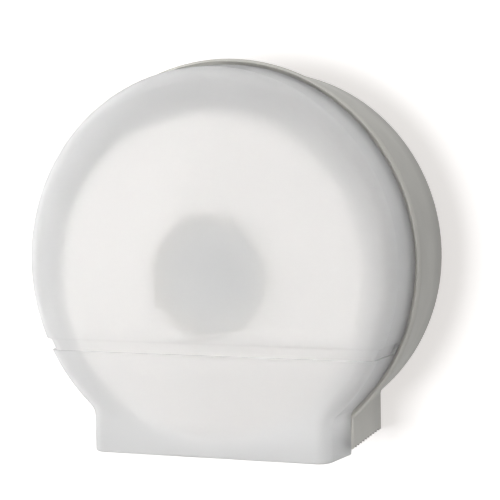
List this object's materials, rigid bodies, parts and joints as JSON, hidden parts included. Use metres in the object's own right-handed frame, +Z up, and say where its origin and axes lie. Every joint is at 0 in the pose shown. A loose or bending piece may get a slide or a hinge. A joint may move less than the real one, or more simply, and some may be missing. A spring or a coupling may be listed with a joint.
{
  "type": "jumbo toilet roll dispenser",
  "caption": "Wall-mounted round dispenser for a 9 inch toilet roll: grey tray, translucent cover hinged at its chin, turning core hub and cam lock.",
  "frame": {"origin": "centre of the round housing on the wall face, midway between the four wall slots", "axes": "+X to the right seen from the front, +Y into the wall, +Z up; the front faces -Y"},
  "size_m": [0.2824, 0.126, 0.2738],
  "materials": {
    "tray_plastic": "opaque warm grey, fine moulded grain",
    "cover_plastic": "translucent frosted white, smooth outside",
    "spindle_plastic": "moulded grey",
    "hub_plastic": "moulded grey",
    "zinc_steel": "zinc plated",
    "lock_metal": "plated die casting",
    "core_board": "plain spiral-wound board",
    "tissue": "soft white tissue wound in many layers"
  },
  "bodies": {
    "housing": {"rear_tray": "tray_plastic", "spindle_post": "spindle_plastic", "spindle_screws": "zinc_steel", "thrust_washer": "zinc_steel", "retainer_cap": "spindle_plastic", "retainer_screw": "zinc_steel", "hinge_pin_left": "zinc_steel", "hinge_pin_right": "zinc_steel", "lock_barrel": "lock_metal", "star_washer": "zinc_steel", "lock_nut": "zinc_steel"},
    "cover": {"front_cover": "cover_plastic", "cover_catch": "zinc_steel", "catch_screws": "zinc_steel"},
    "roll": {"core_hub": "hub_plastic", "paper_core": "core_board", "paper_roll": "tissue"},
    "lock": {"lock_plug": "lock_metal", "lock_cam": "zinc_steel", "cam_screw": "zinc_steel"}
  },
  "joints": [
    {"name": "cover_hinge", "type": "hinge", "parent": "housing", "child": "cover", "pos_m": [0, -0.08, -0.1245], "axis": [1, 0, 0], "range_deg": [0, 98]},
    {"name": "roll_spin", "type": "hinge", "parent": "housing", "child": "roll", "pos_m": [0, -0.065, -0.008], "axis": [0, 1, 0], "continuous": true},
    {"name": "lock_turn", "type": "hinge", "parent": "housing", "child": "lock", "pos_m": [0, -0.064, 0.125], "axis": [0, 0, 1], "range_deg": [0, 90]}
  ]
}
